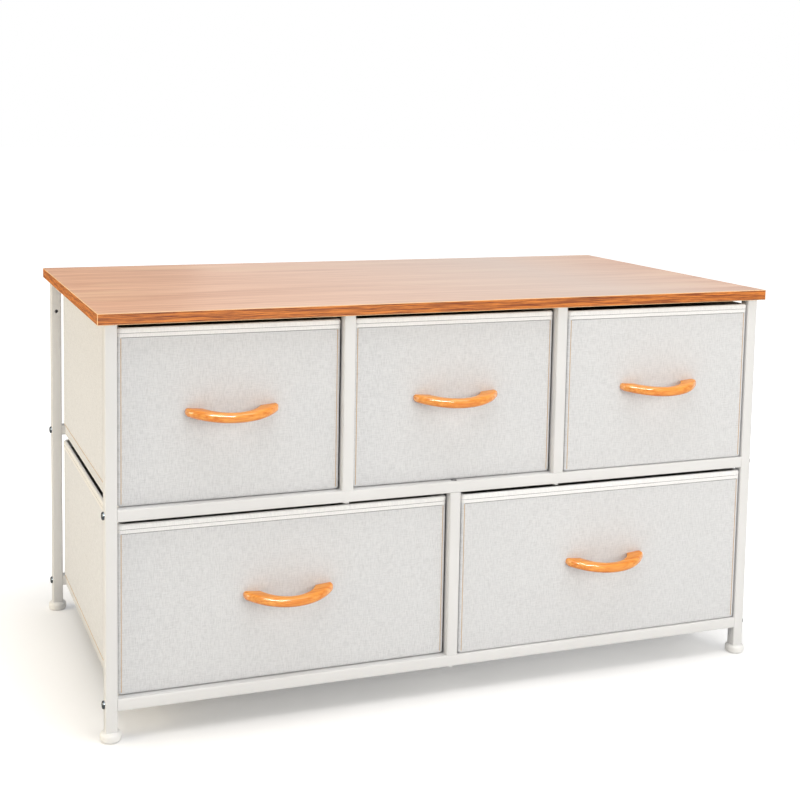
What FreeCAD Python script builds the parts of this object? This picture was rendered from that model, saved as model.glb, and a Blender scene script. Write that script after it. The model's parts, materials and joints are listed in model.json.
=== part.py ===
"""Fabric drawer dresser: a white steel tube frame under a laminate top, with five
fabric drawers in two tiers, wooden bow handles and four levelling feet.

Millimetres, +Z up, front towards -Y, +X to the right seen from the front.  The
origin is on the floor, at the middle of the whole dresser's box.
"""
import FreeCAD
import Part

import os

import Sketcher

# Driving dimensions, one cell each in the sheet
SIZES = {
    # laminate top
    "board_width": 1000,
    "board_depth": 520,
    "board_thick": 15,
    "board_front": -244.75,
    # steel tube frame
    "tube": 16,
    "wall": 1.2,
    "post_inset_side": 10,
    "post_inset_end": 6,
    "bottom_rail_height": 41,
    "lower_tier": 235,
    "upper_tier": 240,
    "runner_width": 50,
    "runner_setback": 5,
    # fasteners of the frame
    "bolt_radius": 3,
    "bolt_play": 0.2,
    "bolt_head_radius": 5.5,
    "bolt_head_high": 3.3,
    "nut_plate": 6,
    "screw_radius": 2.5,
    "screw_play": 0.2,
    "screw_head_radius": 4.5,
    "screw_head_high": 2.6,
    "bracket_width": 14,
    "bracket_thick": 2,
    "bracket_leg": 22,
    "bracket_hole_setback": 13,
    "wood_screw_radius": 1.75,
    "wood_screw_bite": 10,
    "wood_screw_head_radius": 3.5,
    "wood_screw_head_high": 1.5,
    "wall_hole_radius": 2.75,
    "wall_hole_drop": 53,
    # levelling feet
    "foot_radius": 14,
    "foot_height": 12.7,
    "foot_round": 4,
    "foot_gap": 0.3,
    "stud_radius": 4,
    "stud_length": 22,
    "stud_play": 0.05,
    "insert_height": 20,
    # fabric drawers
    "drawer_recess": 10.5,
    "right_drawers_out": 9,
    "drawer_side_gap": 2,
    "drawer_rest_gap": 0.3,
    "drawer_top_gap": 4,
    "drawer_rear_gap": 4,
    "drawer_wall": 3,
    "drawer_corner": 7,
    "drawer_floor": 1.5,
    "binding_height": 12,
    "binding_proud": 0.8,
    "base_thick": 3,
    "base_gap": 1.5,
    "stiffener_thick": 3,
    "stiffener_side_gap": 5,
    "stiffener_top_gap": 20,
    # wooden bow handles
    "handle_length": 126,
    "handle_reach": 38,
    "handle_end": 7,
    "handle_bow": 11,
    "handle_pad": 24,
    "handle_tall": 12.5,
    "handle_droop": 5,
    "handle_round": 4,
    "handle_screw_pitch": 96,
    "handle_screw_radius": 2,
    "handle_screw_bite": 12,
    "handle_screw_head_radius": 3.5,
    "handle_screw_head_high": 2,
}

doc = FreeCAD.newDocument("dresser")
sheet = doc.addObject("Spreadsheet::Sheet", "sizes")
for row, (alias, value) in enumerate(SIZES.items(), start=1):
    sheet.set(f"A{row}", str(value))
    sheet.setAlias(f"A{row}", alias)
doc.recompute()

nodes = []


# Formulas shared by several pieces
def size(alias):
    return f"sizes.{alias}"


MIRROR_SIDES = (("left", "-1"), ("right", "1"))
POST_X = "(sizes.board_width / 2 - sizes.post_inset_side - sizes.tube / 2)"
FRONT_Y = "(sizes.board_front + sizes.post_inset_end + sizes.tube / 2)"
REAR_Y = "(sizes.board_front + sizes.board_depth - sizes.post_inset_end - sizes.tube / 2)"
ROWS = (("front", FRONT_Y), ("rear", REAR_Y))
BOTTOM_Z = "sizes.bottom_rail_height"
LOWER_Z = "(sizes.bottom_rail_height + sizes.tube)"
MID_Z = f"({LOWER_Z} + sizes.lower_tier)"
UPPER_Z = f"({MID_Z} + sizes.tube)"
BOARD_Z = f"({UPPER_Z} + sizes.upper_tier)"
POST_Z = "(sizes.foot_height + sizes.foot_gap)"
RAIL_LENGTH = f"(2 * {POST_X} - sizes.tube)"
LEVELS = (("bottom", BOTTOM_Z), ("mid", MID_Z))
BORE = "(sizes.tube - 2 * sizes.wall)"
UPPER_OPENING = f"(({RAIL_LENGTH} - 2 * sizes.tube) / 3)"
LOWER_OPENING = f"(({RAIL_LENGTH} - sizes.tube) / 2)"
UPPER_DIVIDER_X = f"(({UPPER_OPENING} + sizes.tube) / 2)"


# Building blocks
def place(item, x, y, z):
    for axis, formula in zip("xyz", (x, y, z)):
        item.setExpression(f"Placement.Base.{axis}", formula)


def box(name, x, y, z, length, width, height):
    item = doc.addObject("Part::Box", name)
    item.setExpression("Length", length)
    item.setExpression("Width", width)
    item.setExpression("Height", height)
    place(item, x, y, z)
    return item


def centred_box(name, x, y, z, length, width, height):
    """A box centred on x and y, standing on z."""
    return box(name, f"{x} - {length} / 2", f"{y} - {width} / 2", z, length, width, height)


def rod(name, axis, x, y, z, radius, length):
    """A round bar that starts at a point and runs along one positive axis."""
    turns = {"x": ((0, 1, 0), 90), "y": ((1, 0, 0), -90), "z": ((0, 0, 1), 0)}
    direction, angle = turns[axis]
    item = doc.addObject("Part::Cylinder", name)
    item.Placement = FreeCAD.Placement(FreeCAD.Vector(), FreeCAD.Rotation(FreeCAD.Vector(direction), angle))
    item.setExpression("Radius", radius)
    item.setExpression("Height", length)
    place(item, x, y, z)
    return item


def group(name, items):
    item = doc.addObject("Part::Compound", name)
    item.Links = items
    return item


def fuse(name, items):
    item = doc.addObject("Part::MultiFuse", name)
    item.Shapes = items
    return item


def cut(name, base, tool):
    item = doc.addObject("Part::Cut", name)
    item.Base = base
    item.Tool = tool
    return item


def common(name, base, tool):
    item = doc.addObject("Part::Common", name)
    item.Base = base
    item.Tool = tool
    return item


def drill(name, base, holes):
    return cut(name, base, group(f"{name}_holes", holes))


def node(item):
    """Keep a finished piece; its label names its file."""
    nodes.append(item)
    return item


def body_at(name, x, y, z):
    item = doc.addObject("PartDesign::Body", name)
    place(item, x, y, z)
    return item


def sketch_on(body, role, lift=None):
    plane = next(feature for feature in body.Origin.OriginFeatures if feature.Role == role)
    sketch = body.newObject("Sketcher::SketchObject", f"{body.Name}_sketch")
    sketch.AttachmentSupport = (plane, [""])
    sketch.MapMode = "FlatFace"
    if lift:
        sketch.setExpression("AttachmentOffset.Base.z", lift)
    return sketch


def draw_rectangle(sketch, width, height):
    """A rectangle centred on the sketch's origin, its two sides bound to formulas."""
    first = sketch.GeometryCount
    corners = [FreeCAD.Vector(x, y, 0) for x, y in ((-9, -9), (9, -9), (9, 9), (-9, 9))]
    for start, end in zip(corners, corners[1:] + corners[:1]):
        sketch.addGeometry(Part.LineSegment(start, end), False)
    for side in range(4):
        sketch.addConstraint(Sketcher.Constraint("Coincident", first + side, 2, first + (side + 1) % 4, 1))
    for side, direction in enumerate(("Horizontal", "Vertical", "Horizontal", "Vertical")):
        sketch.addConstraint(Sketcher.Constraint(direction, first + side))
    sketch.addConstraint(Sketcher.Constraint("Symmetric", first, 1, first + 1, 2, -1, 1))
    across = sketch.addConstraint(Sketcher.Constraint("DistanceX", first, 1, first, 2, 18))
    up = sketch.addConstraint(Sketcher.Constraint("DistanceY", first + 1, 1, first + 1, 2, 18))
    sketch.setExpression(f"Constraints[{across}]", width)
    sketch.setExpression(f"Constraints[{up}]", height)


def draw_circle(sketch, radius):
    circle = sketch.addGeometry(Part.Circle(FreeCAD.Vector(), FreeCAD.Vector(0, 0, 1), 5), False)
    sketch.addConstraint(Sketcher.Constraint("Coincident", circle, 3, -1, 1))
    bound = sketch.addConstraint(Sketcher.Constraint("Radius", circle, 5))
    sketch.setExpression(f"Constraints[{bound}]", radius)


def pad(body, sketch, length):
    feature = body.newObject("PartDesign::Pad", f"{body.Name}_pad")
    feature.Profile = sketch
    feature.setExpression("Length", length)
    return feature


def pocket_up(body, sketch, length):
    """Cut upwards from a level sketch."""
    feature = body.newObject("PartDesign::Pocket", f"{body.Name}_pocket")
    feature.Profile = sketch
    feature.Reversed = True
    feature.setExpression("Length", length)
    return feature


def round_edges(body, base, wanted, radius):
    doc.recompute()
    chosen = [f"Edge{i}" for i, edge in enumerate(base.Shape.Edges, start=1) if wanted(edge)]
    feature = body.newObject("PartDesign::Fillet", f"{body.Name}_round")
    feature.Base = (base, chosen)
    feature.setExpression("Radius", radius)
    return feature


def is_upright(edge):
    ends = [vertex.Point for vertex in edge.Vertexes]
    return len(ends) == 2 and (ends[1] - ends[0]).cross(FreeCAD.Vector(0, 0, 1)).Length < 1e-6


def tube_along(name, role, x, y, z, across, up, length):
    """A hollow tube: its section is drawn on one origin plane and padded along the plane's normal."""
    body = body_at(name, x, y, z)
    sketch = sketch_on(body, role)
    draw_rectangle(sketch, across, up)
    draw_rectangle(sketch, f"{across} - 2 * sizes.wall", f"{up} - 2 * sizes.wall")
    pad(body, sketch, length)
    return body


# Laminate top, drilled from below for the bracket screws
def bracket_spots():
    """Where a bracket ties an upright to the top: x, the upright's inner face in y, and its facing."""
    spots = []
    for _, sign in MIRROR_SIDES:
        for x in (POST_X, UPPER_DIVIDER_X):
            spots.append((f"{sign} * {x}", f"({FRONT_Y} + sizes.tube / 2)", "1"))
            spots.append((f"{sign} * {x}", f"({REAR_Y} - sizes.tube / 2)", "-1"))
    return spots


def make_top():
    slab = box("top_slab", "-sizes.board_width / 2", "sizes.board_front", BOARD_Z,
               "sizes.board_width", "sizes.board_depth", "sizes.board_thick")
    holes = []
    for x, face, facing in bracket_spots():
        holes.append(rod("top_pilot", "z", x, f"{face} + {facing} * sizes.bracket_hole_setback", BOARD_Z,
                         "sizes.wood_screw_radius", "sizes.wood_screw_bite"))
    node(drill("top_board", slab, holes))


def make_brackets():
    plates = []
    screws = []
    for x, face, facing in bracket_spots():
        leg_y = f"({face} + {facing} * sizes.bracket_leg / 2)"
        plate_y = f"({face} + {facing} * sizes.bracket_thick / 2)"
        hole_y = f"{face} + {facing} * sizes.bracket_hole_setback"
        under = f"({BOARD_Z} - sizes.bracket_thick)"
        upright = centred_box("bracket_upright", x, plate_y, f"{BOARD_Z} - sizes.bracket_leg",
                              "sizes.bracket_width", "sizes.bracket_thick", "sizes.bracket_leg")
        level = centred_box("bracket_level", x, leg_y, under,
                            "sizes.bracket_width", "sizes.bracket_leg", "sizes.bracket_thick")
        hole = rod("bracket_hole", "z", x, hole_y, under, "sizes.wood_screw_radius", "sizes.bracket_thick")
        plates.append(cut("bracket", fuse("bracket_blank", [upright, level]), hole))
        head = rod("wood_screw_head", "z", x, hole_y, f"{under} - sizes.wood_screw_head_high",
                   "sizes.wood_screw_head_radius", "sizes.wood_screw_head_high")
        shank = rod("wood_screw_shank", "z", x, hole_y, under, "sizes.wood_screw_radius",
                    "sizes.bracket_thick + sizes.wood_screw_bite")
        screws.append(fuse("wood_screw", [head, shank]))
    node(group("board_brackets", plates))
    node(group("board_screws", screws))


# Posts, rails and the bolts that join them
def make_posts():
    for row, y in ROWS:
        for side, sign in MIRROR_SIDES:
            name = f"post_{row}_{side}"
            x = f"{sign} * {POST_X}"
            blank = tube_along(f"{name}_tube", "XY_Plane", x, y, POST_Z, size("tube"), size("tube"),
                               f"{BOARD_Z} - {POST_Z}")
            holes = [rod("bolt_hole", "x", f"{x} - sizes.tube / 2", y, f"{z} + sizes.tube / 2",
                         "sizes.bolt_radius + sizes.bolt_play", "sizes.tube") for _, z in LEVELS]
            if row == "rear":
                wall_z = f"{BOARD_Z} - sizes.wall_hole_drop"
                holes.append(rod("wall_hole", "y", x, f"{y} - sizes.tube / 2", wall_z,
                                 "sizes.wall_hole_radius", "sizes.tube"))
            node(drill(name, blank, holes))


def rail_screw_holes(level, y):
    """Holes in one rail for the screws of the dividers that stand on it or hang below it."""
    wide = "sizes.screw_radius + sizes.screw_play"
    if level == "bottom":
        return [rod("rail_hole", "z", "0", y, BOTTOM_Z, wide, "sizes.tube")]
    holes = [rod("rail_hole", "z", f"{sign} * {UPPER_DIVIDER_X}", y, MID_Z, wide, "sizes.tube")
             for _, sign in MIRROR_SIDES]
    holes.append(rod("rail_hole", "z", "0", y, MID_Z, wide, "sizes.tube"))
    holes.append(rod("rail_sink", "z", "0", y, f"{UPPER_Z} - sizes.screw_head_high",
                     "sizes.screw_head_radius", "sizes.screw_head_high"))
    return holes


def make_rails():
    for row, y in ROWS:
        for level, z in LEVELS:
            name = f"rail_{row}_{level}"
            middle = f"{z} + sizes.tube / 2"
            blank = tube_along(f"{name}_tube", "YZ_Plane", f"-{RAIL_LENGTH} / 2", y, middle,
                               size("tube"), size("tube"), RAIL_LENGTH)
            plates = []
            holes = rail_screw_holes(level, y)
            for start in (f"-{RAIL_LENGTH} / 2", f"{RAIL_LENGTH} / 2 - sizes.nut_plate"):
                plates.append(box("nut_plate_blank", start, f"{y} - {BORE} / 2", f"{z} + sizes.wall",
                                  "sizes.nut_plate", BORE, BORE))
                holes.append(rod("nut_hole", "x", start, y, middle, "sizes.bolt_radius", "sizes.nut_plate"))
            node(drill(name, fuse(f"{name}_blank", [blank] + plates), holes))


def make_frame_bolts():
    bolts = []
    reach = "(sizes.tube + sizes.nut_plate)"
    outside = f"({POST_X} + sizes.tube / 2)"
    for _, y in ROWS:
        for _, z in LEVELS:
            middle = f"{z} + sizes.tube / 2"
            for head_x, shank_x in ((f"-{outside} - sizes.bolt_head_high", f"-{outside}"),
                                    (outside, f"{outside} - {reach}")):
                head = rod("bolt_head", "x", head_x, y, middle,
                           "sizes.bolt_head_radius", "sizes.bolt_head_high")
                shank = rod("bolt_shank", "x", shank_x, y, middle, "sizes.bolt_radius", reach)
                bolts.append(fuse("frame_bolt", [head, shank]))
    node(group("frame_bolts", bolts))


# Dividers between the drawers, with a threaded plate in each screwed end
def end_plate(x, y, z):
    blank = centred_box("end_plate", x, y, z, BORE, BORE, "sizes.nut_plate")
    hole = rod("end_thread", "z", x, y, z, "sizes.screw_radius", "sizes.nut_plate")
    return blank, hole


def make_divider(name, x, y, z, tall, plate_heights):
    blank = tube_along(f"{name}_tube", "XY_Plane", x, y, z, size("tube"), size("tube"), tall)
    pairs = [end_plate(x, y, plate) for plate in plate_heights]
    joined = fuse(f"{name}_blank", [blank] + [plate for plate, _ in pairs])
    return drill(name, joined, [hole for _, hole in pairs])


def make_dividers():
    rear_upper = []
    for row, y in ROWS:
        for side, sign in MIRROR_SIDES:
            name = f"divider_{row}_upper_{side}"
            x = f"{sign} * {UPPER_DIVIDER_X}"
            item = make_divider(name, x, y, UPPER_Z, size("upper_tier"), [UPPER_Z])
            if row == "front":
                node(item)
            else:
                rear_upper.append(item)
        node(make_divider(f"divider_{row}_lower", "0", y, LOWER_Z, size("lower_tier"),
                          [LOWER_Z, f"{MID_Z} - sizes.nut_plate"]))
    node(group("dividers_rear_upper", rear_upper))


def screw(x, y, head_z, shank_z, length):
    head = rod("screw_head", "z", x, y, head_z, "sizes.screw_head_radius", "sizes.screw_head_high")
    shank = rod("screw_shank", "z", x, y, shank_z, "sizes.screw_radius", length)
    return fuse("divider_screw", [head, shank])


def make_divider_screws():
    screws = []
    through = "(sizes.tube + sizes.nut_plate)"
    sunk = "sizes.screw_head_high"
    for _, y in ROWS:
        for _, sign in MIRROR_SIDES:
            screws.append(screw(f"{sign} * {UPPER_DIVIDER_X}", y, f"{MID_Z} - {sunk}", MID_Z, through))
        screws.append(screw("0", y, f"{BOTTOM_Z} - {sunk}", BOTTOM_Z, through))
        plate_z = f"{MID_Z} - sizes.nut_plate"
        screws.append(screw("0", y, f"{UPPER_Z} - {sunk}", plate_z, f"{through} - {sunk}"))
    node(group("divider_screws", screws))


# Runners that carry the drawers, welded between the front and rear rails
def make_runners():
    side_x = f"({RAIL_LENGTH} / 2 - sizes.runner_setback - sizes.runner_width / 2)"
    spots = {
        "bottom": (("left", f"-{side_x}"), ("centre", "0"), ("right", side_x)),
        "mid": (("left", f"-{side_x}"), ("centre_left", f"-{UPPER_DIVIDER_X}"),
                ("centre_right", UPPER_DIVIDER_X), ("right", side_x)),
    }
    length = f"{REAR_Y} - {FRONT_Y} - sizes.tube"
    for level, z in LEVELS:
        for side, x in spots[level]:
            node(tube_along(f"runner_{level}_{side}", "XZ_Plane", x, f"{REAR_Y} - sizes.tube / 2",
                            f"{z} + sizes.tube / 2", size("runner_width"), size("tube"), length))


# Levelling feet, each on a stud that turns in an insert in the post's end
def make_feet():
    inserts = []
    for row, y in ROWS:
        for side, sign in MIRROR_SIDES:
            x = f"{sign} * {POST_X}"
            plug = centred_box("insert_plug", x, y, POST_Z, BORE, BORE, "sizes.insert_height")
            bore = rod("insert_bore", "z", x, y, POST_Z, "sizes.stud_radius + sizes.stud_play",
                       "sizes.insert_height")
            inserts.append(cut("foot_insert", plug, bore))
            foot = body_at(f"foot_{row}_{side}", x, y, "0")
            disc = sketch_on(foot, "XY_Plane")
            draw_circle(disc, "sizes.foot_radius")
            base = pad(foot, disc, "sizes.foot_height")
            round_edges(foot, base, lambda edge: len(edge.Vertexes) == 1, "sizes.foot_round")
            stud = sketch_on(foot, "XY_Plane", "sizes.foot_height")
            draw_circle(stud, "sizes.stud_radius")
            pad(foot, stud, "sizes.stud_length")
            node(foot)
    node(group("foot_inserts", inserts))


# Fabric drawers
DRAWER_FRONT = "(sizes.board_front + sizes.post_inset_end + sizes.drawer_recess)"
DRAWER_REAR = f"({REAR_Y} - sizes.tube / 2 - sizes.drawer_rear_gap)"
DRAWER_DEPTH = f"({DRAWER_REAR} - {DRAWER_FRONT})"
RIGHT_DRAWER_FRONT = f"({DRAWER_FRONT} - sizes.right_drawers_out)"
HANDLE_PINS = ("-sizes.handle_screw_pitch / 2", "sizes.handle_screw_pitch / 2")


def pin_holes(x, z, start, length):
    return [rod("pin_hole", "y", f"{x} + {pin}", start, z, "sizes.handle_screw_radius", length)
            for pin in HANDLE_PINS]


def make_shell(name, x, front, z, width, height):
    """The fabric box: rounded upright corners, open at the top, drilled for its handle."""
    shell = body_at(f"{name}_blank", x, f"{front} + {DRAWER_DEPTH} / 2", z)
    outline = sketch_on(shell, "XY_Plane")
    draw_rectangle(outline, width, DRAWER_DEPTH)
    block = pad(shell, outline, height)
    rounded = round_edges(shell, block, is_upright, "sizes.drawer_corner")
    inside = sketch_on(shell, "XY_Plane", "sizes.drawer_floor")
    draw_rectangle(inside, f"{width} - 2 * sizes.drawer_wall", f"{DRAWER_DEPTH} - 2 * sizes.drawer_wall")
    hollow = pocket_up(shell, inside, height)
    doc.recompute()
    outer_edges = [edge.CenterOfMass for edge in rounded.Shape.Edges if is_upright(edge)]

    def is_inner(edge):
        near = [point for point in outer_edges if (point - edge.CenterOfMass).Length < sheet.drawer_wall]
        return is_upright(edge) and not near

    round_edges(shell, hollow, is_inner, "sizes.drawer_corner - sizes.drawer_wall")
    holes = pin_holes(x, f"{z} + {height} / 2", front, size("drawer_wall"))
    return drill(name, shell, holes)


def make_binding(name, x, front, z, width, height, shell):
    """The bias tape folded over the drawer's top edge."""
    tape = body_at(f"{name}_blank", x, f"{front} + {DRAWER_DEPTH} / 2",
                   f"{z} + {height} - sizes.binding_height")
    outline = sketch_on(tape, "XY_Plane")
    proud = "2 * sizes.binding_proud"
    draw_rectangle(outline, f"{width} + {proud}", f"{DRAWER_DEPTH} + {proud}")
    block = pad(tape, outline, "sizes.binding_height + sizes.binding_proud")
    round_edges(tape, block, is_upright, "sizes.drawer_corner + sizes.binding_proud")
    inside = sketch_on(tape, "XY_Plane")
    draw_rectangle(inside, f"{width} - 2 * sizes.drawer_wall - {proud}",
                   f"{DRAWER_DEPTH} - 2 * sizes.drawer_wall - {proud}")
    pocket_up(tape, inside, "sizes.binding_height + sizes.binding_proud")
    return cut(name, tape, shell)


def arc_radius(half, rise):
    """The radius of an arc from half its chord and its rise."""
    return f"(({half} * {half} + {rise} * {rise}) / (2 * {rise}))"


def make_handle(name, x, front, z):
    """A bow handle: two arcs seen from above, with blunt ends, drooping along a shallow arc."""
    half = "(sizes.handle_length / 2)"
    hollow_reach = "(sizes.handle_reach - sizes.handle_bow)"
    outer_radius = arc_radius(half, "(sizes.handle_reach - sizes.handle_end)")
    inner_radius = arc_radius(f"({half} - sizes.handle_pad)", hollow_reach)
    droop_radius = arc_radius(half, "sizes.handle_droop")
    spread = "(sizes.handle_droop + sizes.handle_tall)"
    low = f"{z} - {spread}"
    outer = rod("bow_outer", "z", x, f"{front} - sizes.handle_reach + {outer_radius}", low,
                outer_radius, f"2 * {spread}")
    before = box("bow_space", f"{x} - {half}", f"{front} - sizes.handle_reach", low,
                 "sizes.handle_length", "sizes.handle_reach", f"2 * {spread}")
    inner = rod("bow_inner", "z", x, f"{front} - {hollow_reach} + {inner_radius}", low,
                inner_radius, f"2 * {spread}")
    plan = cut(f"{name}_plan", common(f"{name}_slab", outer, before), inner)
    rise = f"{z} + sizes.handle_droop / 2 - sizes.handle_droop + {droop_radius}"
    start = f"{front} - sizes.handle_reach"
    below = rod("droop_outer", "y", x, start, rise, f"{droop_radius} + sizes.handle_tall / 2",
                "sizes.handle_reach")
    above = rod("droop_inner", "y", x, start, rise, f"{droop_radius} - sizes.handle_tall / 2",
                "sizes.handle_reach")
    bow = common(f"{name}_bow", plan, cut(f"{name}_band", below, above))
    doc.recompute()
    pad_plane = bow.Shape.BoundBox.YMax
    rounded = doc.addObject("Part::Fillet", f"{name}_rounded")
    rounded.Base = bow
    radius = sheet.handle_round
    rounded.Edges = [(i, radius, radius) for i, edge in enumerate(bow.Shape.Edges, start=1)
                     if edge.BoundBox.YMin < pad_plane - radius and edge.BoundBox.XLength > radius]
    bite = pin_holes(x, z, f"{front} - sizes.handle_screw_bite", size("handle_screw_bite"))
    return drill(name, rounded, bite)


def make_handle_screws(name, x, front, z):
    screws = []
    inside = f"({front} + sizes.drawer_wall + sizes.stiffener_thick)"
    for pin in HANDLE_PINS:
        head = rod("pin_head", "y", f"{x} + {pin}", inside, z, "sizes.handle_screw_head_radius",
                   "sizes.handle_screw_head_high")
        shank = rod("pin_shank", "y", f"{x} + {pin}", f"{front} - sizes.handle_screw_bite", z,
                    "sizes.handle_screw_radius",
                    "sizes.handle_screw_bite + sizes.drawer_wall + sizes.stiffener_thick")
        screws.append(fuse("handle_screw", [head, shank]))
    return group(name, screws)


def make_drawer(name, x, front, tier_z, tier_height, opening):
    z = f"({tier_z} + sizes.drawer_rest_gap)"
    width = f"({opening} - 2 * sizes.drawer_side_gap)"
    height = f"({tier_height} - sizes.drawer_rest_gap - sizes.drawer_top_gap - sizes.binding_proud)"
    centre = f"({z} + {height} / 2)"
    shell = make_shell(f"{name}_shell", x, front, z, width, height)
    node(shell)
    node(make_binding(f"{name}_binding", x, front, z, width, height, shell))
    floor = f"({z} + sizes.drawer_floor)"
    play = "2 * (sizes.drawer_wall + sizes.base_gap)"
    node(centred_box(f"{name}_base_board", x, f"{front} + {DRAWER_DEPTH} / 2", floor,
                     f"({width} - {play})", f"({DRAWER_DEPTH} - {play})", "sizes.base_thick"))
    stiff_y = f"({front} + sizes.drawer_wall)"
    stiff_z = f"({floor} + sizes.base_thick)"
    stiff_width = f"({width} - 2 * sizes.drawer_wall - 2 * sizes.stiffener_side_gap)"
    stiff_height = f"{z} + {height} - sizes.stiffener_top_gap - {stiff_z}"
    sheet_blank = box(f"{name}_stiffener_blank", f"{x} - {stiff_width} / 2", stiff_y, stiff_z,
                      stiff_width, "sizes.stiffener_thick", stiff_height)
    node(drill(f"{name}_stiffener", sheet_blank, pin_holes(x, centre, stiff_y, size("stiffener_thick"))))
    node(make_handle(f"{name}_handle", x, front, centre))
    node(make_handle_screws(f"{name}_handle_screws", x, front, centre))


def make_drawers():
    upper_step = f"({UPPER_OPENING} + sizes.tube)"
    lower_step = f"(({LOWER_OPENING} + sizes.tube) / 2)"
    for side, step in (("left", "-1"), ("middle", "0"), ("right", "1")):
        front = RIGHT_DRAWER_FRONT if side == "right" else DRAWER_FRONT
        make_drawer(f"drawer_upper_{side}", f"{step} * {upper_step}", front, UPPER_Z, size("upper_tier"),
                    UPPER_OPENING)
    for side, step in MIRROR_SIDES:
        front = RIGHT_DRAWER_FRONT if side == "right" else DRAWER_FRONT
        make_drawer(f"drawer_lower_{side}", f"{step} * {lower_step}", front, LOWER_Z, size("lower_tier"),
                    LOWER_OPENING)


# Build, test and write the pieces
make_top()
make_brackets()
make_posts()
make_rails()
make_frame_bolts()
make_dividers()
make_divider_screws()
make_runners()
make_feet()
make_drawers()
doc.recompute()

failed = [item.Label for item in doc.Objects if "Invalid" in item.State or "Error" in item.State]
if failed:
    raise RuntimeError(f"objects that failed to build: {failed}")
for item in nodes:
    if item.Shape.isNull() or not item.Shape.isValid() or not item.Shape.Solids:
        raise RuntimeError(f"{item.Label} has no valid solid")

os.makedirs("parts", exist_ok=True)
for item in nodes:
    item.Shape.exportStep(os.path.join("parts", f"{item.Label}.step"))
print(f"{len(nodes)} pieces written")
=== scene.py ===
"""Looks of the fabric drawer dresser: powder-coated tube, wood laminate, linen
drawers with bound rims and lacquered bow handles.  Metres, in the frame's axes.
"""
import json
import math

import bpy
from mathutils import Euler, Matrix, Vector

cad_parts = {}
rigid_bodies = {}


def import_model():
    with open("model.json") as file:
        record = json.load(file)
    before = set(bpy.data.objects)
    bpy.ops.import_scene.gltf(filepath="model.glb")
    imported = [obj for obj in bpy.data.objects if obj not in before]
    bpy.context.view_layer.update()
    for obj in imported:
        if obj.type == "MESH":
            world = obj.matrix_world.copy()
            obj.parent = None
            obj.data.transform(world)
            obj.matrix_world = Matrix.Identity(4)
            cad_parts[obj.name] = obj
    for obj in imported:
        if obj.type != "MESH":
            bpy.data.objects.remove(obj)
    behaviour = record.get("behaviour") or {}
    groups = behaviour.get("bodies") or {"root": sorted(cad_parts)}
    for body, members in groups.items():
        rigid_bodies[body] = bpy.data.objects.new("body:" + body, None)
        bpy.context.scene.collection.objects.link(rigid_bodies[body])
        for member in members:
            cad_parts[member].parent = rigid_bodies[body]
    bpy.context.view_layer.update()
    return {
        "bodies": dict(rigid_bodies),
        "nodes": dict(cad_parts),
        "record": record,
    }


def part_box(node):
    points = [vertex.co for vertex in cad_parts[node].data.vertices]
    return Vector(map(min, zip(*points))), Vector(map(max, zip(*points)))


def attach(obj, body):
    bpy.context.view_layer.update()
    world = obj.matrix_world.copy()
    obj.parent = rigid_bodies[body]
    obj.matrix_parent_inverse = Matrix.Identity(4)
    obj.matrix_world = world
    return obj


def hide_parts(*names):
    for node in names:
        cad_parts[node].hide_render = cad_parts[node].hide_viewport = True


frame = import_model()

MM = 0.001
DRAWERS = [name for name in frame["bodies"] if name.startswith("drawer_")]
FEET = [name for name in frame["bodies"] if name.startswith("foot_")]

# Sizes that only the looks need
TUBE_ROUND = 1.5 * MM
BOARD_EASE = 0.7 * MM
BOLT_RADIUS = 5.5 * MM
BOLT_TALL = 3.3 * MM
BOLT_ROUND = 2.2 * MM
BOLT_SOCKET = 2.1 * MM
BOLT_SOCKET_CUT = 3.6 * MM
FLUSH_RADIUS = 4.5 * MM
FLUSH_TALL = 0.4 * MM
FLUSH_EASE = 0.1 * MM
FLUSH_SOCKET = 2 * MM
FLUSH_SOCKET_CUT = 1 * MM
FOOT_ROUND = 4.6 * MM
LINEN_ROLL = 4 * MM
LINEN_CORNER = 7 * MM
LINEN_WALL = 3 * MM
LINEN_FLOOR = 1.5 * MM
SIDE_BELLY = 0.9 * MM
FRONT_BELLY = 0.45 * MM
TAPE_HEIGHT = 12 * MM
GROOVE_DROP = 7.2 * MM
RIM_SAG = 2 * MM
FULL_DRAWER = "drawer_lower_right"
SEAM_SETBACK = 4.5 * MM
SEAM_MARGIN = 9 * MM
HEM_HEIGHT = 5 * MM
SEAM_PROUD = 0.45 * MM
THREAD_TALL = 1 * MM
HANDLE_BOW = 11 * MM
HANDLE_PAD = 24 * MM
HANDLE_END = 7 * MM
HANDLE_TALL = 12.5 * MM
HANDLE_ROUND = 4.4 * MM
HANDLE_EASE = 1 * MM
HANDLE_TAPER = 0.2
HANDLE_SLICES = 32

# How close two places are when they count as one
SAME_LEVEL = 1e-6
SAME_SPOT = 1 * MM


# Shader maths
class Value:
    """One socket of a material's nodes; arithmetic on it adds Math nodes."""

    def __init__(self, tree, socket):
        self.tree = tree
        self.socket = socket

    def math(self, operation, *values):
        node = self.tree.nodes.new("ShaderNodeMath")
        node.operation = operation
        for socket, value in zip(node.inputs, values):
            connect(self.tree, socket, value)
        return Value(self.tree, node.outputs[0])

    def __add__(self, other):
        return self.math("ADD", self, other)

    def __radd__(self, other):
        return self.math("ADD", other, self)

    def __sub__(self, other):
        return self.math("SUBTRACT", self, other)

    def __rsub__(self, other):
        return self.math("SUBTRACT", other, self)

    def __mul__(self, other):
        return self.math("MULTIPLY", self, other)

    def __rmul__(self, other):
        return self.math("MULTIPLY", other, self)

    def __gt__(self, other):
        return self.math("GREATER_THAN", self, other)

    def __lt__(self, other):
        return self.math("LESS_THAN", self, other)

    def __abs__(self):
        return self.math("ABSOLUTE", self)

    def sine(self):
        return self.math("SINE", self)

    def larger(self, other):
        return self.math("MAXIMUM", self, other)


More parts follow.
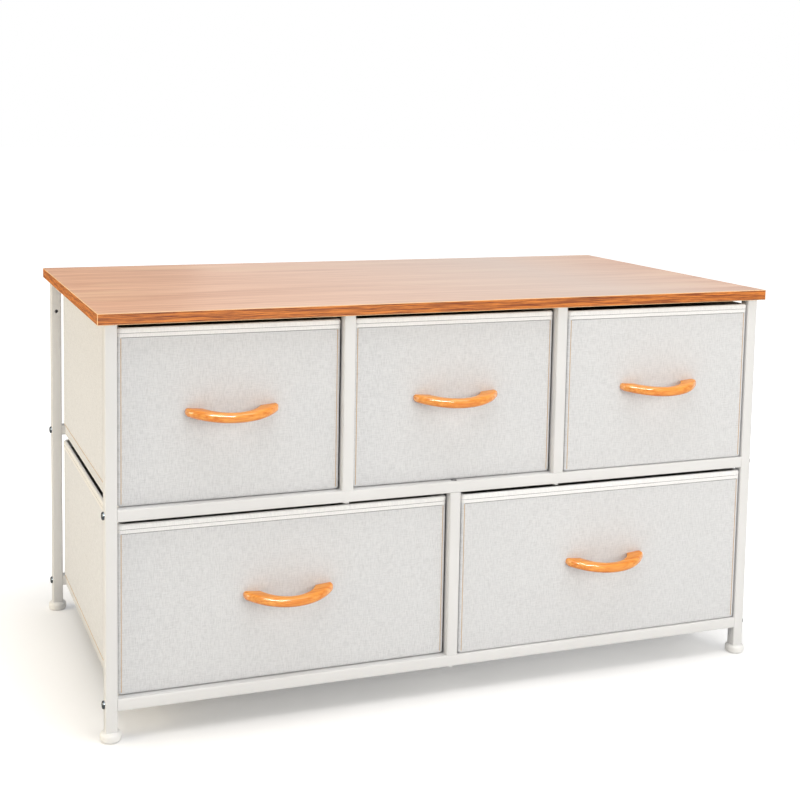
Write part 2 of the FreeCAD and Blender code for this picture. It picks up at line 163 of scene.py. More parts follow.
def connect(tree, socket, value):
    if isinstance(value, Value):
        tree.links.new(value.socket, socket)
    else:
        socket.default_value = value


class Finish:
    """A material in the making, with its Principled shader."""

    def __init__(self, name):
        self.material = bpy.data.materials.new(name)
        self.material.use_nodes = True
        self.tree = self.material.node_tree
        self.shader = self.tree.nodes["Principled BSDF"]

    def add(self, kind, settings=None, inputs=None, output=0):
        """Any node: its settings are set first, then its sockets take values or links."""
        node = self.tree.nodes.new(kind)
        for key, value in (settings or {}).items():
            setattr(node, key, value)
        for key, value in (inputs or {}).items():
            connect(self.tree, node.inputs[key], value)
        return Value(self.tree, node.outputs[output])

    def place(self):
        """The three Object coordinates."""
        where = self.add("ShaderNodeTexCoord", output=3)
        return [self.add("ShaderNodeSeparateXYZ", inputs={0: where}, output=axis) for axis in range(3)]

    def facing(self):
        """The three parts of the surface normal."""
        normal = self.add("ShaderNodeNewGeometry", output=1)
        return [self.add("ShaderNodeSeparateXYZ", inputs={0: normal}, output=axis) for axis in range(3)]

    def noise(self, x, y, z, detail=2.0, rough=0.5):
        """Noise over a place that is already scaled to the pattern's size."""
        where = self.add("ShaderNodeCombineXYZ", inputs={0: x, 1: y, 2: z})
        inputs = {"Vector": where, "Scale": 1.0, "Detail": detail, "Roughness": rough}
        return self.add("ShaderNodeTexNoise", inputs=inputs)

    def spread(self, value, low, high, start=0.0, end=1.0):
        """Stretch one range of a value to another, held at both ends."""
        inputs = {"Value": value, "From Min": low, "From Max": high, "To Min": start, "To Max": end}
        return self.add("ShaderNodeMapRange", {"clamp": True}, inputs)

    def mix(self, factor, first, second):
        """A mix of two colours."""
        inputs = {0: factor, 6: first, 7: second}
        return self.add("ShaderNodeMix", {"data_type": "RGBA"}, inputs, output=2)

    def bump(self, height, strength, distance):
        inputs = {"Height": height, "Strength": strength, "Distance": distance}
        self.set(Normal=self.add("ShaderNodeBump", inputs=inputs))

    def set(self, **sockets):
        for key, value in sockets.items():
            connect(self.tree, self.shader.inputs[key.replace("_", " ")], value)
        return self


def srgb(red, green, blue):
    """A colour written in display values from 0 to 255."""
    def linear(value):
        part = value / 255
        return part / 12.92 if part <= 0.04045 else ((part + 0.055) / 1.055) ** 2.4
    return (linear(red), linear(green), linear(blue), 1.0)


# Finishes
def linen_finish(name, light, dark, fleck):
    """Linen-look cloth: crossed slubs in two directions over a fine plain weave."""
    finish = Finish(name)
    x, y, z = finish.place()
    along = x + y
    warp = finish.noise(along * 1100, z * 110, y * 3, 3.0, 0.6)
    weft = finish.noise(along * 110, z * 1100, x * 3, 3.0, 0.6)
    slub_up = finish.noise(along * 820, z * 95, 4.0, 2.0)
    slub_across = finish.noise(along * 95, z * 820, 9.0, 2.0)
    cloudy = finish.noise(x * 7, y * 7, z * 7, 2.0)
    threads = finish.spread(warp * 1.1 + weft * 0.9 + slub_up * 1.15 + slub_across * 0.85, 1.68, 2.32)
    tone = finish.mix(threads, dark, light)
    specks = finish.spread(slub_up * 0.5 + slub_across * 0.5 + warp * 0.35, 0.76, 0.9)
    tone = finish.mix(specks * 0.4, tone, fleck)
    tone = finish.mix(finish.spread(cloudy, 0.35, 0.7, 0.0, 0.1), tone, dark)
    finish.set(Base_Color=tone, Roughness=finish.spread(threads, 0.0, 1.0, 0.82, 0.94))
    finish.set(Sheen_Weight=0.12, Sheen_Roughness=0.5, Specular_IOR_Level=0.25)
    weave = (along * 5200).sine() * (z * 5200).sine()
    finish.bump(threads * 0.7 + weave * 0.15 + cloudy * 0.3, 0.35, 0.6 * MM)
    return finish.material


def tape_finish():
    """Smooth folded tape: fine ribs across its length, and painted shade on its left- and right-facing
    sides.
    """
    finish = Finish("binding_tape")
    x, y, z = finish.place()
    along = x + y
    ribs = finish.noise(along * 900, z * 90, 2.0, 2.0)
    soft = finish.noise(x * 18, y * 18, z * 40, 2.0)
    tone = finish.mix(finish.spread(ribs, 0.35, 0.65), srgb(230, 230, 231), srgb(240, 240, 240))
    tone = finish.mix(finish.spread(soft, 0.4, 0.7, 0.0, 0.2), tone, srgb(222, 221, 220))
    # Painted shade: where the tape faces left or right it is darkened towards a warm grey.
    nx, _, _ = finish.facing()
    tone = finish.mix(finish.spread(abs(nx), 0.3, 0.9, 0.0, 0.85), tone, srgb(219, 217, 213))
    finish.set(Base_Color=tone, Roughness=finish.spread(ribs, 0.3, 0.7, 0.7, 0.85))
    finish.set(Sheen_Weight=0.1, Specular_IOR_Level=0.3)
    finish.bump(ribs + soft * 0.6, 0.3, 0.4 * MM)
    return finish.material


def thread_finish(name, light, dark):
    """Twisted sewing thread."""
    finish = Finish(name)
    x, y, z = finish.place()
    twist = finish.noise((x + y) * 1500, z * 1500, 0.0, 1.0)
    finish.set(Base_Color=finish.mix(twist, dark, light), Roughness=0.8)
    finish.bump(twist, 0.3, 0.2 * MM)
    return finish.material


def powder_finish():
    """White powder coat: faint orange peel and a slightly uneven gloss."""
    finish = Finish("powder_coat")
    x, y, z = finish.place()
    peel = finish.noise(x * 420, y * 420, z * 420, 2.0)
    cloud = finish.noise(x * 9, y * 9, z * 9, 2.0)
    tone = finish.mix(cloud, srgb(216, 216, 216), srgb(225, 225, 225))
    finish.set(Base_Color=tone, Roughness=finish.spread(cloud + peel * 0.3, 0.4, 0.9, 0.3, 0.42))
    finish.set(Specular_IOR_Level=0.45)
    finish.bump(peel, 0.12, 0.25 * MM)
    return finish.material


def laminate_finish():
    """Wood-look laminate: salmon top with long streaks and a painted sheen right of the middle, deeper
    edge banding whose left and right faces carry painted warm light.
    """
    finish = Finish("laminate_wood")
    x, y, z = finish.place()
    nx, ny, nz = finish.facing()
    sway = finish.noise(x * 2.2, y * 5, 1.0, 2.0)
    across = y + sway * 0.035
    wide = finish.noise(x * 1.6, across * 26, 0.0, 3.0, 0.55)
    streak = finish.noise(x * 5, across * 120, 3.0, 4.0, 0.6)
    pore = finish.noise(x * 24, across * 700, 6.0, 2.0)
    flame = finish.noise(x * 3.1, across * 11, 12.0, 2.0)
    grain = wide * 0.4 + streak * 0.45 + pore * 0.15
    top = finish.mix(finish.spread(grain, 0.4, 0.6), srgb(207, 150, 117), srgb(246, 195, 160))
    top = finish.mix(finish.spread(flame, 0.58, 0.7, 0.0, 0.6), top, srgb(240, 198, 160))
    top = finish.mix(finish.spread(pore, 0.6, 0.8, 0.0, 0.45), top, srgb(162, 102, 70))
    # Painted sheen: the top blends towards pale pink from the left end to the middle, then back towards
    # the right end, in place of a reflection.
    painted_sheen = finish.spread(x, -0.46, 0.25, 0.05, 0.75) - finish.spread(x, 0.28, 0.5, 0.0, 0.45)
    top = finish.mix(painted_sheen, top, srgb(212, 198, 189))
    run = x + y * 1.6
    band_wide = finish.noise(run * 8, z * 280, 2.0, 3.0, 0.6)
    band_fine = finish.noise(run * 24, z * 900, 5.0, 4.0, 0.65)
    band = finish.mix(finish.spread(band_wide * 0.4 + band_fine * 0.6, 0.44, 0.56),
                      srgb(130, 59, 16), srgb(220, 130, 48))
    band = finish.mix(finish.spread(band_fine, 0.58, 0.72, 0.0, 0.6), band, srgb(108, 48, 14))
    # Painted warm light: the band's left- and right-facing faces are tinted golden.
    band = finish.mix(finish.spread(abs(nx), 0.3, 0.9, 0.0, 0.2), band, srgb(190, 116, 0))
    under = finish.mix(grain, srgb(196, 168, 142), srgb(214, 190, 166))
    upright = abs(nx).larger(abs(ny))
    level = 0.96
    eased = (upright < level) * (abs(nz) < level)
    tone = finish.mix(nz > level, band, top)
    tone = finish.mix(nz < -level, tone, under)
    tone = finish.mix(eased, tone, srgb(240, 200, 150))
    smooth = finish.spread(grain, 0.3, 0.7, 0.38, 0.28)
    finish.set(Base_Color=tone, Roughness=smooth + (upright > 0.9) * 0.35)
    finish.set(Specular_IOR_Level=0.5)
    finish.bump(grain * 0.6 + pore * 0.4, 0.1, 0.3 * MM)
    return finish.material


def handle_finish():
    """Lacquered beech: grain along the bow, short flecks, painted shade on the downward faces, a clear
    coat that is thin on the flats.
    """
    finish = Finish("handle_wood")
    x, y, z = finish.place()
    _, _, nz = finish.facing()
    sway = finish.noise(x * 14, y * 30, z * 30, 1.0)
    grain = finish.noise(x * 9 + sway * 1.5, y * 260, z * 260, 3.0, 0.6)
    fleck = finish.noise(x * 120, y * 900, z * 900, 2.0)
    tone = finish.mix(finish.spread(grain, 0.3, 0.7), srgb(226, 124, 34), srgb(254, 180, 86))
    tone = finish.mix(finish.spread(fleck, 0.62, 0.78, 0.0, 0.3), tone, srgb(176, 96, 34))
    # Painted shade: faces that point downwards are darkened towards deep brown.
    tone = finish.mix(finish.spread(0 - nz, 0.1, 0.8, 0.0, 0.7), tone, srgb(182, 96, 34))
    finish.set(Base_Color=tone, Roughness=finish.spread(grain, 0.3, 0.7, 0.4, 0.3))
    finish.set(Coat_Weight=finish.spread(nz, 0.6, 0.9, 1.0, 0.15), Specular_IOR_Level=0.1)
    finish.set(Coat_Roughness=0.08, Coat_IOR=2.0)
    finish.bump(grain + fleck * 0.5, 0.06, 0.2 * MM)
    return finish.material


def metal_finish(name, light, dark, rough):
    """Plated steel with fine turning marks."""
    finish = Finish(name)
    x, y, z = finish.place()
    marks = finish.noise(x * 300, y * 1400, z * 1400, 2.0)
    finish.set(Base_Color=finish.mix(marks, dark, light), Metallic=1.0)
    finish.set(Roughness=finish.spread(marks, 0.3, 0.7, rough, rough + 0.14))
    finish.bump(marks, 0.08, 0.1 * MM)
    return finish.material


def plastic_finish():
    """Moulded white nylon with a fine grain."""
    finish = Finish("white_plastic")
    x, y, z = finish.place()
    grain = finish.noise(x * 900, y * 900, z * 900, 2.0)
    cloud = finish.noise(x * 60, y * 60, z * 60, 1.0)
    finish.set(Base_Color=finish.mix(cloud, srgb(226, 226, 225), srgb(238, 238, 237)))
    finish.set(Roughness=finish.spread(grain, 0.3, 0.7, 0.34, 0.46), Specular_IOR_Level=0.4)
    finish.bump(grain, 0.08, 0.15 * MM)
    return finish.material


LINEN = linen_finish("linen", srgb(219, 220, 222), srgb(200, 201, 203), srgb(188, 184, 179))
# A darker copy of the linen for the drawers' insides: painted shade, which keeps the gaps above the
# drawers dark.
SHADED_LINING = linen_finish("shaded_lining", srgb(188, 186, 182), srgb(164, 162, 158), srgb(142, 138, 132))
TAPE = tape_finish()
TAN_THREAD = thread_finish("tan_thread", srgb(216, 186, 146), srgb(178, 142, 100))
# Grey thread for the sewn lines round the tape: partly stitching, partly painted shade under the tape's
# edge and in its groove.
STITCH_SHADE_THREAD = thread_finish("stitch_shade_thread", srgb(150, 150, 152), srgb(112, 112, 116))
POWDER = powder_finish()
LAMINATE = laminate_finish()
BEECH = handle_finish()
CHROME = metal_finish("bright_zinc", srgb(158, 166, 174), srgb(78, 88, 96), 0.16)
STEEL = metal_finish("dark_zinc", srgb(150, 150, 152), srgb(112, 112, 116), 0.34)
NYLON = plastic_finish()


# Modelling helpers
def clear_selection():
    bpy.ops.object.select_all(action="DESELECT")


def settle(piece, name):
    """Name a new primitive and put its place and size into its mesh."""
    piece.name = name
    piece.data.name = name
    bpy.ops.object.transform_apply(location=True, rotation=True, scale=True)
    return piece


def add_block(name, low, high):
    """A cube primitive stretched between two corners."""
    clear_selection()
    low = Vector(low)
    high = Vector(high)
    bpy.ops.mesh.primitive_cube_add(size=1, location=(low + high) / 2)
    piece = bpy.context.active_object
    piece.scale = high - low
    return settle(piece, name)


def add_rod(name, centre, radius, length, axis, sides=32):
    """A cylinder primitive along one axis."""
    turns = {"x": (0, math.pi / 2, 0), "y": (math.pi / 2, 0, 0), "z": (0, 0, 0)}
    clear_selection()
    bpy.ops.mesh.primitive_cylinder_add(vertices=sides, radius=radius, depth=length, location=centre,
                                        rotation=turns[axis])
    return settle(bpy.context.active_object, name)


def select_edges(piece, wanted):
    """Go to edit mode with the edges selected whose two ends pass a test."""
    bpy.context.tool_settings.mesh_select_mode = (False, True, False)
    bpy.ops.object.mode_set(mode="EDIT")
    bpy.ops.mesh.select_all(action="DESELECT")
    bpy.ops.object.mode_set(mode="OBJECT")
    points = piece.data.vertices
    for edge in piece.data.edges:
        edge.select = wanted(*(points[index].co for index in edge.vertices))
    bpy.ops.object.mode_set(mode="EDIT")


def bevel_edges(piece, wanted, width, steps):
    select_edges(piece, wanted)
    bpy.ops.mesh.bevel(offset=width, segments=steps, affect="EDGES")
    bpy.ops.object.mode_set(mode="OBJECT")


def use_modifier(piece, kind, **settings):
    modifier = piece.modifiers.new(kind, kind)
    for key, value in settings.items():
        setattr(modifier, key, value)
    bpy.context.view_layer.objects.active = piece
    bpy.ops.object.modifier_apply(modifier=modifier.name)


def carve(piece, cutter):
    """Cut one piece out of another and drop the cutter."""
    use_modifier(piece, "BOOLEAN", object=cutter, operation="DIFFERENCE", solver="EXACT",
                 material_mode="TRANSFER")
    bpy.data.objects.remove(cutter)


def soften(piece, degrees=35):
    clear_selection()
    piece.select_set(True)
    bpy.context.view_layer.objects.active = piece
    bpy.ops.object.shade_smooth_by_angle(angle=math.radians(degrees))


def join(pieces, name):
    clear_selection()
    for piece in pieces:
        piece.select_set(True)
    bpy.context.view_layer.objects.active = pieces[0]
    bpy.ops.object.join()
    pieces[0].name = name
    pieces[0].data.name = name
    return pieces[0]


def copy_to(piece, matrix):
    """A copy with its own mesh, moved there."""
    twin = piece.copy()
    twin.data = piece.data.copy()
    twin.data.transform(matrix)
    bpy.context.collection.objects.link(twin)
    return twin


def finish_piece(piece, material, body, slot, *nodes):
    if not any(piece.data.materials):
        piece.data.materials.clear()
        piece.data.materials.append(material)
    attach(piece, body)
    if nodes:
        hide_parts(*nodes)


def paint_node(node, material):
    """Give a carried-over node a better material."""
    slots = frame["nodes"][node].data.materials
    slots.clear()
    slots.append(material)


# Frame
def round_bar(name, low, high):
    """A square tube seen from outside: a block with its long edges rolled."""
    piece = add_block(name, low, high)
    size = Vector(high) - Vector(low)
    longest = max(range(3), key=lambda axis: size[axis])
    bevel_edges(piece, lambda a, b: abs(a[longest] - b[longest]) > size[longest] / 2, TUBE_ROUND, 3)
    return piece


def drill_wall_hole(piece, low, high):
    """The wall screw's hole through a rear post: deep and dark from the front, shallow behind."""
    mount = next(item for item in frame["record"]["mounts"] if item["name"] == "wall_holes")
    radius = mount["dims"]["hole_r_mm"] * MM
    x = (low[0] + high[0]) / 2
    z = mount["pos_m"][2]
    thick = high[1] - low[1]
    piece.data.materials.append(POWDER)
    for face, depth in ((low[1], 0.7 * thick), (high[1], 0.15 * thick)):
        cutter = add_rod("wall_hole", (x, face, z), radius, 2 * depth, "y")
        cutter.data.materials.append(STEEL)
        carve(piece, cutter)


def make_tubes():
    single = [node for node in frame["nodes"]
              if node.startswith(("post_", "rail_", "runner_", "divider_")) and node != "divider_screws"]
    for node in single:
        low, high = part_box(node)
        piece = round_bar(f"{node}_tube", low, high)
        if node.startswith("post_rear"):
            drill_wall_hole(piece, low, high)
        soften(piece)
        finish_piece(piece, POWDER, "frame", "powder_coat", node)
    low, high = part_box("dividers_rear_upper")
    width = high[1] - low[1]
    bars = [round_bar("divider_bar", (x, low[1], low[2]), (x + width, high[1], high[2]))
            for x in (low[0], high[0] - width)]
    pair = join(bars, "dividers_rear_upper_tubes")
    soften(pair)
    finish_piece(pair, POWDER, "frame", "powder_coat", "dividers_rear_upper")


def make_top():
    low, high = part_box("top_board")
    piece = add_block("laminate_top", low, high)
    use_modifier(piece, "BEVEL", width=BOARD_EASE, segments=2, limit_method="ANGLE")
    finish_piece(piece, LAMINATE, "frame", "laminate_wood", "top_board")


def make_bolts():
    """Button heads with a hex socket on the posts' outer faces."""
    low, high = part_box("frame_bolts")
    head = add_rod("bolt_head", (-BOLT_TALL / 2, 0, 0), BOLT_RADIUS, BOLT_TALL, "x", 40)
    rim = -BOLT_TALL * 0.9
    bevel_edges(head, lambda a, b: a.x < rim and b.x < rim, BOLT_ROUND, 4)
    carve(head, add_rod("socket", (-BOLT_TALL, 0, 0), BOLT_SOCKET, BOLT_SOCKET_CUT, "x", 6))
    copies = []
    post_low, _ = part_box("post_front_left")
    for y in (low[1] + BOLT_RADIUS, high[1] - BOLT_RADIUS):
        for z in (low[2] + BOLT_RADIUS, high[2] - BOLT_RADIUS):
            copies.append(copy_to(head, Matrix.Translation((post_low[0], y, z))))
            turn = Matrix.Translation((-post_low[0], y, z)) @ Matrix.Rotation(math.pi, 4, "Z")
            copies.append(copy_to(head, turn))
    bpy.data.objects.remove(head)
    piece = join(copies, "frame_bolt_heads")
    soften(piece, 40)
    finish_piece(piece, CHROME, "frame", "zinc_steel", "frame_bolts")


def make_flush_screws():
    """The sunk heads that show on top of the mid rails, over the lower dividers."""
    heads = []
    for row in ("front", "rear"):
        low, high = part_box(f"rail_{row}_mid")
        centre = ((low[0] + high[0]) / 2, (low[1] + high[1]) / 2, high[2])
        head = add_rod("flush_head", centre, FLUSH_RADIUS, FLUSH_TALL, "z")
        bevel_edges(head, lambda a, b: a.z > centre[2] and b.z > centre[2], FLUSH_EASE, 2)
        carve(head, add_rod("flush_socket", centre, FLUSH_SOCKET, FLUSH_SOCKET_CUT, "z", 6))
        heads.append(head)
    piece = join(heads, "mid_rail_screw_heads")
    soften(piece)
    finish_piece(piece, STEEL, "frame", "zinc_steel")


def make_feet():
    for name in FEET:
        low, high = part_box(name)
        post_low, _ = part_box(name.replace("foot", "post"))
        centre = (Vector(low) + Vector(high)) / 2
        radius = (high[0] - low[0]) / 2
        tall = post_low[2] - low[2]
        piece = add_rod(f"{name}_bun", (centre.x, centre.y, low[2] + tall / 2), radius, tall, "z", 56)
        bevel_edges(piece, lambda a, b: abs(a.z - b.z) < tall / 2, FOOT_ROUND, 6)
        soften(piece, 50)
        finish_piece(piece, NYLON, name, "white_plastic", name)


# Fabric drawers
def sweep_rim(name, low, high, radius, profile):
    """Sweep a wall profile of outset and height steps round a rounded rectangle."""
    clear_selection()
    centre = (Vector(low) + Vector(high)) / 2
    width = high[0] - low[0]
    depth = high[1] - low[1]
    first_out, first_z = profile[0]
    bpy.ops.mesh.primitive_plane_add(size=1, location=(centre.x, centre.y, first_z))
    piece = bpy.context.active_object
    piece.scale = (width + 2 * first_out, depth + 2 * first_out, 1)
    settle(piece, name)
    bpy.context.tool_settings.mesh_select_mode = (True, False, False)
    bpy.ops.object.mode_set(mode="EDIT")
    bpy.ops.mesh.select_all(action="SELECT")
    bpy.ops.mesh.bevel(offset=radius + first_out, segments=8, affect="VERTICES")
    bpy.ops.mesh.delete(type="ONLY_FACE")
    bpy.ops.object.mode_set(mode="OBJECT")
    longest = 0.05
    select_edges(piece, lambda a, b: (a - b).length > longest)
    bpy.ops.mesh.subdivide(number_cuts=11)
    bpy.ops.mesh.select_all(action="SELECT")
    out, z = first_out, first_z
    for next_out, next_z in profile[1:]:
        wider = (width + 2 * next_out) / (width + 2 * out)
        deeper = (depth + 2 * next_out) / (depth + 2 * out)
        bpy.ops.mesh.extrude_edges_move(TRANSFORM_OT_translate={"value": (0, 0, next_z - z)})
        bpy.ops.transform.resize(value=(wider, deeper, 1), center_override=(centre.x, centre.y, next_z))
        out, z = next_out, next_z
    bpy.ops.object.mode_set(mode="OBJECT")
    return piece


def fill_level(piece, z):
    """Close the ring of edges that lies at one height."""
    select_edges(piece, lambda a, b: abs(a.z - z) < SAME_LEVEL and abs(b.z - z) < SAME_LEVEL)
    bpy.ops.mesh.edge_face_add()
    bpy.ops.object.mode_set(mode="OBJECT")


def face_outwards(piece):
    clear_selection()
    piece.select_set(True)
    bpy.context.view_layer.objects.active = piece
    bpy.ops.object.mode_set(mode="EDIT")
    bpy.ops.mesh.select_all(action="SELECT")
    bpy.ops.mesh.normals_make_consistent(inside=False)
    bpy.ops.object.mode_set(mode="OBJECT")


def bulge(piece, low, high, phase):
    """Let the cloth panels belly a little and ripple, fading out at the corners, rim and floor."""
    centre = (Vector(low) + Vector(high)) / 2
    half = (Vector(high) - Vector(low)) / 2
    for point in piece.data.vertices:
        u = (point.co - centre)
        across = [u.x / half.x, u.y / half.y, u.z / half.z]
        up = max(0.0, 1 - across[2] ** 2)
        for axis, other, size in ((0, 1, SIDE_BELLY), (1, 0, FRONT_BELLY)):
            if abs(across[axis]) > 0.97:
                fade = up * max(0.0, 1 - across[other] ** 2)
                ripple = 0.6 + 0.4 * math.sin(5 * across[other] + 3 * across[2] + phase)
                point.co[axis] += math.copysign(size * fade * ripple, across[axis])


def rim_height(drawer):
    """Where the tape folds over: most rims sag a little, one stands at its full height."""
    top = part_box(f"{drawer}_shell")[1][2]
    return top if drawer == FULL_DRAWER else top - RIM_SAG


def shell_profile(low, rim, wall):
    """Outer wall from the rolled bottom edge to the rim, then the inner wall down to the floor."""
    profile = []
    for step in range(5):
        turn = step * math.pi / 8
        profile.append((LINEN_ROLL * (math.sin(turn) - 1), low[2] + LINEN_ROLL * (1 - math.cos(turn))))
    levels = 8
    for step in range(1, levels + 1):
        z = low[2] + LINEN_ROLL + (rim - low[2] - LINEN_ROLL) * step / levels
        profile.append((0.0, z))
    profile.append((-wall, rim - 0.01 * MM))
    profile.append((-wall, low[2] + LINEN_FLOOR))
    return profile


def tape_profile(rim, wall):
    """A tape folded over the rim: a rolled edge, a stitched groove and a flat lower fold, both sides."""
    inside = -wall
    return [
        (0.05 * MM, rim - TAPE_HEIGHT),
        (0.95 * MM, rim - TAPE_HEIGHT + 0.2 * MM),
        (1.25 * MM, rim - TAPE_HEIGHT + 1.6 * MM),
        (1.2 * MM, rim - 7.4 * MM),
        (0.7 * MM, rim - 6.7 * MM),
        (1.2 * MM, rim - 6.0 * MM),
        (1.45 * MM, rim - 3.2 * MM),
        (1.15 * MM, rim - 1.0 * MM),
        (0.1 * MM, rim + 0.2 * MM),
        (inside / 2, rim + 0.5 * MM),
        (inside - 0.1 * MM, rim + 0.2 * MM),
        (inside - 0.85 * MM, rim - 1.0 * MM),
        (inside - 0.85 * MM, rim - TAPE_HEIGHT + 0.3 * MM),
        (inside - 0.05 * MM, rim - TAPE_HEIGHT),
    ]


def thread_profile(line, out):
    """A sewn line that stands a little out of the cloth, from its lower to its upper edge."""
    sunk = out - 0.55 * MM
    quarter = THREAD_TALL / 4
    return [(sunk, line), (out, line + quarter), (out, line + 3 * quarter), (sunk, line + THREAD_TALL)]


def line_inside(piece, low, high):
    """Give the faces that look into the drawer a darker copy of the linen, as painted shade for the
    drawer's inside.
    """
    piece.data.materials.append(LINEN)
    piece.data.materials.append(SHADED_LINING)
    centre = (Vector(low) + Vector(high)) / 2
    for face in piece.data.polygons:
        inner = face.center.z > low[2] + SAME_SPOT and face.normal.dot(centre - face.center) > 0
        face.material_index = 1 if inner else 0


def make_shell(drawer, number):
    node = f"{drawer}_shell"
    low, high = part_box(node)
    profile = shell_profile(low, rim_height(drawer) - 1 * MM, LINEN_WALL)
    piece = sweep_rim(f"{drawer}_linen", low, high, LINEN_CORNER, profile)
    fill_level(piece, low[2])
    fill_level(piece, low[2] + LINEN_FLOOR)
    bulge(piece, low, high, number * 1.7)
    face_outwards(piece)
    soften(piece, 40)
    line_inside(piece, low, high)
    finish_piece(piece, LINEN, drawer, "linen", node)


def make_binding(drawer):
    node = f"{drawer}_binding"
    low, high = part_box(f"{drawer}_shell")
    profile = tape_profile(rim_height(drawer), LINEN_WALL)
    piece = sweep_rim(f"{drawer}_tape", low, high, LINEN_CORNER, profile)
    face_outwards(piece)
    soften(piece, 30)
    finish_piece(piece, TAPE, drawer, "binding_tape", node)


def make_seams(drawer):
    """Corner seams of the front panel, hem seams along both sides and two grey sewn lines round the tape,
    which also serve as painted shade under the tape's lower edge and in its groove.
    """
    low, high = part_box(f"{drawer}_shell")
    proud = wide = SEAM_PROUD
    rim = rim_height(drawer)
    top = rim - TAPE_HEIGHT - THREAD_TALL
    bars = []
    for x in (low[0] + SEAM_SETBACK, high[0] - SEAM_SETBACK):
        bars.append(add_block("seam", (x - wide, low[1] - proud, low[2] + LINEN_ROLL),
                              (x + wide, low[1] + 1 * MM, top)))
    hem = low[2] + HEM_HEIGHT
    for x in (low[0], high[0]):
        bars.append(add_block("hem", (x - proud, low[1] + SEAM_MARGIN, hem - wide),
                              (x + proud, high[1] - SEAM_MARGIN, hem + wide)))
    piece = join(bars, f"{drawer}_seams")
    use_modifier(piece, "BEVEL", width=0.3 * MM, segments=2, limit_method="ANGLE")
    piece.data.materials.append(TAN_THREAD)
    # Grey sewn lines under the tape and in its groove: stitching darkened as painted shade.
    for line, out in ((top, 0.35 * MM), (rim - GROOVE_DROP, 0.95 * MM)):
        sewn = sweep_rim("sewn_line", low, high, LINEN_CORNER, thread_profile(line, out))
        sewn.data.materials.append(STITCH_SHADE_THREAD)
        face_outwards(sewn)
        piece = join([piece, sewn], f"{drawer}_seams")
    soften(piece)
    finish_piece(piece, TAN_THREAD, drawer, "linen")


def make_handle(drawer):
    """A bow handle: two flared pads and a drooping middle, well rounded in front and at the blunt ends."""
    node = f"{drawer}_handle"
    low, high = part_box(node)
    middle = (Vector(low) + Vector(high)) / 2
    back = high[1]
    half = (high[0] - low[0]) / 2
    reach = high[1] - low[1]
    droop_all = high[2] - low[2] - HANDLE_TALL
    piece = add_block(f"{drawer}_bow", (-half, -1, -1), (half, 1, 1))
    bpy.ops.object.mode_set(mode="EDIT")
    for step in range(1, HANDLE_SLICES):
        bpy.ops.mesh.select_all(action="SELECT")
        cut = half * (2 * step / HANDLE_SLICES - 1)
        bpy.ops.mesh.bisect(plane_co=(cut, 0, 0), plane_no=(1, 0, 0))
    bpy.ops.object.mode_set(mode="OBJECT")
    hollow_half = half - HANDLE_PAD
    hollow_reach = reach - HANDLE_BOW
    sag = reach - HANDLE_END
    outer = (half ** 2 + sag ** 2) / (2 * sag)
    inner = (hollow_half ** 2 + hollow_reach ** 2) / (2 * hollow_reach)

    def front_line(x):
        return -reach + outer - math.sqrt(outer ** 2 - x ** 2)

    def on_front(point):
        return point.y < back + front_line(point.x - middle.x) + SAME_SPOT

    def at_end(point):
        return abs(point.x - middle.x) > half - SAME_SPOT

    def rounded_edge(a, b):
        """The long front edges and the edges of the two blunt ends, but not those on the cloth."""
        if at_end(a) and at_end(b):
            return min(a.y, b.y) < back - SAME_SPOT
        return on_front(a) and on_front(b) and abs(a.x - b.x) > SAME_SPOT

    for point in piece.data.vertices:
        x, side, upper = point.co
        droop = droop_all * (x ** 2 / half ** 2 - 0.5)
        if side < 0:
            y = front_line(x)
        elif abs(x) < hollow_half:
            y = -hollow_reach + inner - math.sqrt(inner ** 2 - x ** 2)
        else:
            y = 0.0
        tall = HANDLE_TALL * (1 - HANDLE_TAPER * (x / half) ** 4)
        point.co = (middle.x + x, back + y, middle.z + droop + upper * tall / 2)
    bevel_edges(piece, rounded_edge, HANDLE_ROUND, 5)
    use_modifier(piece, "BEVEL", width=HANDLE_EASE, segments=2, limit_method="ANGLE",
                 angle_limit=math.radians(42))
    soften(piece, 50)
    finish_piece(piece, BEECH, drawer, "handle_wood", node)


def make_drawers():
    for number, drawer in enumerate(DRAWERS):
        make_shell(drawer, number)
        make_binding(drawer)
        make_seams(drawer)
        make_handle(drawer)
        # Base boards and stiffeners inside take the same darker cloth, as painted shade.
        paint_node(f"{drawer}_base_board", SHADED_LINING)
        paint_node(f"{drawer}_stiffener", SHADED_LINING)
        paint_node(f"{drawer}_handle_screws", CHROME)


def paint_small_nodes():
    paint_node("board_brackets", POWDER)
    paint_node("board_screws", CHROME)
    paint_node("divider_screws", POWDER)
    paint_node("foot_inserts", NYLON)


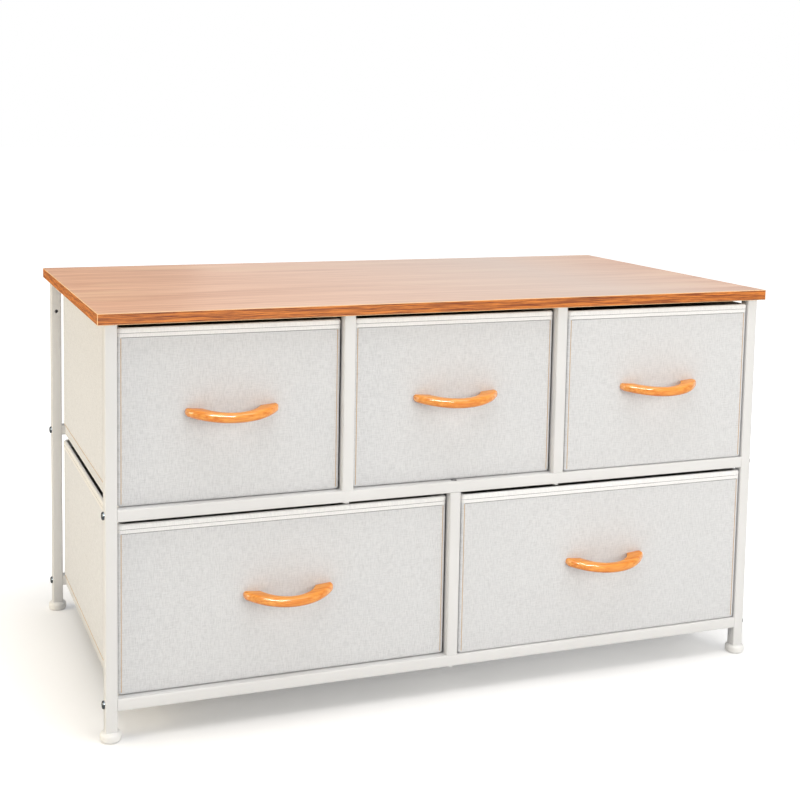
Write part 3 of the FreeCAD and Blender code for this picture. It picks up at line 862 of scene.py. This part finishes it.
# Floor, light and camera
def make_floor():
    clear_selection()
    bpy.ops.mesh.primitive_plane_add(size=60, location=(0, 0, 0))
    floor = settle(bpy.context.active_object, "studio_floor")
    finish = Finish("studio_floor")
    seen = finish.add("ShaderNodeLightPath", output=0)
    x, y, _ = finish.place()
    half_width = 0.5
    half_depth = 0.275
    beyond = (abs(x) - half_width).larger(abs(y) - half_depth)
    # Painted shadow: the floor's glow is lowest under the dresser, most at its left end, and rises to
    # white about half a metre beyond its footprint.
    under = finish.spread(x, -0.5, 0.2, 0.1, 0.24)
    away = finish.spread(beyond, -0.05, 0.55)
    glow = seen * (under + away * (0.7 - under))
    white = finish.add("ShaderNodeEmission", inputs={"Color": (1, 1, 1, 1), "Strength": glow})
    mirrored = finish.add("ShaderNodeLightPath", output=3)
    grey = finish.mix(mirrored, (0.86, 0.86, 0.86, 1), (0.3, 0.3, 0.3, 1))
    finish.set(Base_Color=grey, Roughness=0.9, Specular_IOR_Level=0.0)
    lit = Value(finish.tree, finish.shader.outputs[0])
    both = finish.add("ShaderNodeAddShader", inputs={0: lit, 1: white})
    output = finish.tree.nodes["Material Output"]
    finish.tree.links.new(both.socket, output.inputs["Surface"])
    floor.data.materials.append(finish.material)


def make_world():
    world = bpy.data.worlds.new("studio")
    bpy.context.scene.world = world
    world.use_nodes = True
    tree = world.node_tree
    path = tree.nodes.new("ShaderNodeLightPath")
    shown = Value(tree, path.outputs["Is Camera Ray"])
    mirrored = Value(tree, path.outputs["Is Glossy Ray"])
    ambient = 0.5
    dim = 0.2
    strength = ambient + shown * (1 - ambient) - mirrored * (ambient - dim)
    background = tree.nodes["Background"]
    background.inputs["Color"].default_value = (1, 1, 1, 1)
    tree.links.new(strength.socket, background.inputs["Strength"])


def add_softbox(name, place, aim, size, watts, colour=(1, 1, 1), lights=True, shines=True):
    """A soft lamp, which can be kept out of either the matt light or the reflections."""
    light = bpy.data.lights.new(name, "AREA")
    light.shape = "RECTANGLE"
    light.size, light.size_y = size
    light.energy = watts
    light.color = colour
    lamp = bpy.data.objects.new(name, light)
    lamp.visible_diffuse = lights
    lamp.visible_glossy = shines
    lamp.location = place
    lamp.rotation_euler = (Vector(aim) - Vector(place)).to_track_quat("-Z", "Y").to_euler()
    bpy.context.collection.objects.link(lamp)


def make_lights():
    add_softbox("overhead", (0.0, -0.3, 2.6), (0, 0, 0.3), (2.4, 2.0), 39)
    add_softbox("front_fill", (1.3, -3.0, 1.1), (0, 0, 0.3), (2.4, 1.6), 47.5, (1.0, 0.955, 0.87),
                shines=False)
    add_softbox("left_warm", (-3.0, 0.0, 0.9), (0, 0, 0.3), (2.0, 1.6), 43, (1.0, 0.85, 0.6))
    add_softbox("gloss_strip", (-0.9, -2.2, 1.75), (-0.2, -0.2, 0.4), (2.0, 0.24), 75, lights=False)
    add_softbox("sheen_card", (1.7, 3.3, 1.0), (0.2, 0, 0.5), (2.4, 1.4), 4.5)


def make_camera():
    """The photograph's camera, from a fit of the frame's corners and rails."""
    yaw, pitch, roll = math.radians(19.68), math.radians(5.59), math.radians(0.81)
    data = bpy.data.cameras.new("photo_camera")
    data.sensor_width = 36
    data.lens = 60
    data.shift_x = 0.081
    data.shift_y = -0.19
    camera = bpy.data.objects.new("photo_camera", data)
    turn = Euler((math.pi / 2 - pitch, 0, -yaw)).to_matrix() @ Matrix.Rotation(roll, 3, "Z")
    camera.matrix_world = Matrix.Translation((-0.776, -1.89375, 0.811)) @ turn.to_4x4()
    bpy.context.collection.objects.link(camera)
    bpy.context.scene.camera = camera


make_tubes()
make_top()
make_bolts()
make_flush_screws()
make_feet()
make_drawers()
paint_small_nodes()
make_floor()
make_world()
make_lights()
make_camera()
bpy.context.scene.view_settings.view_transform = "Standard"
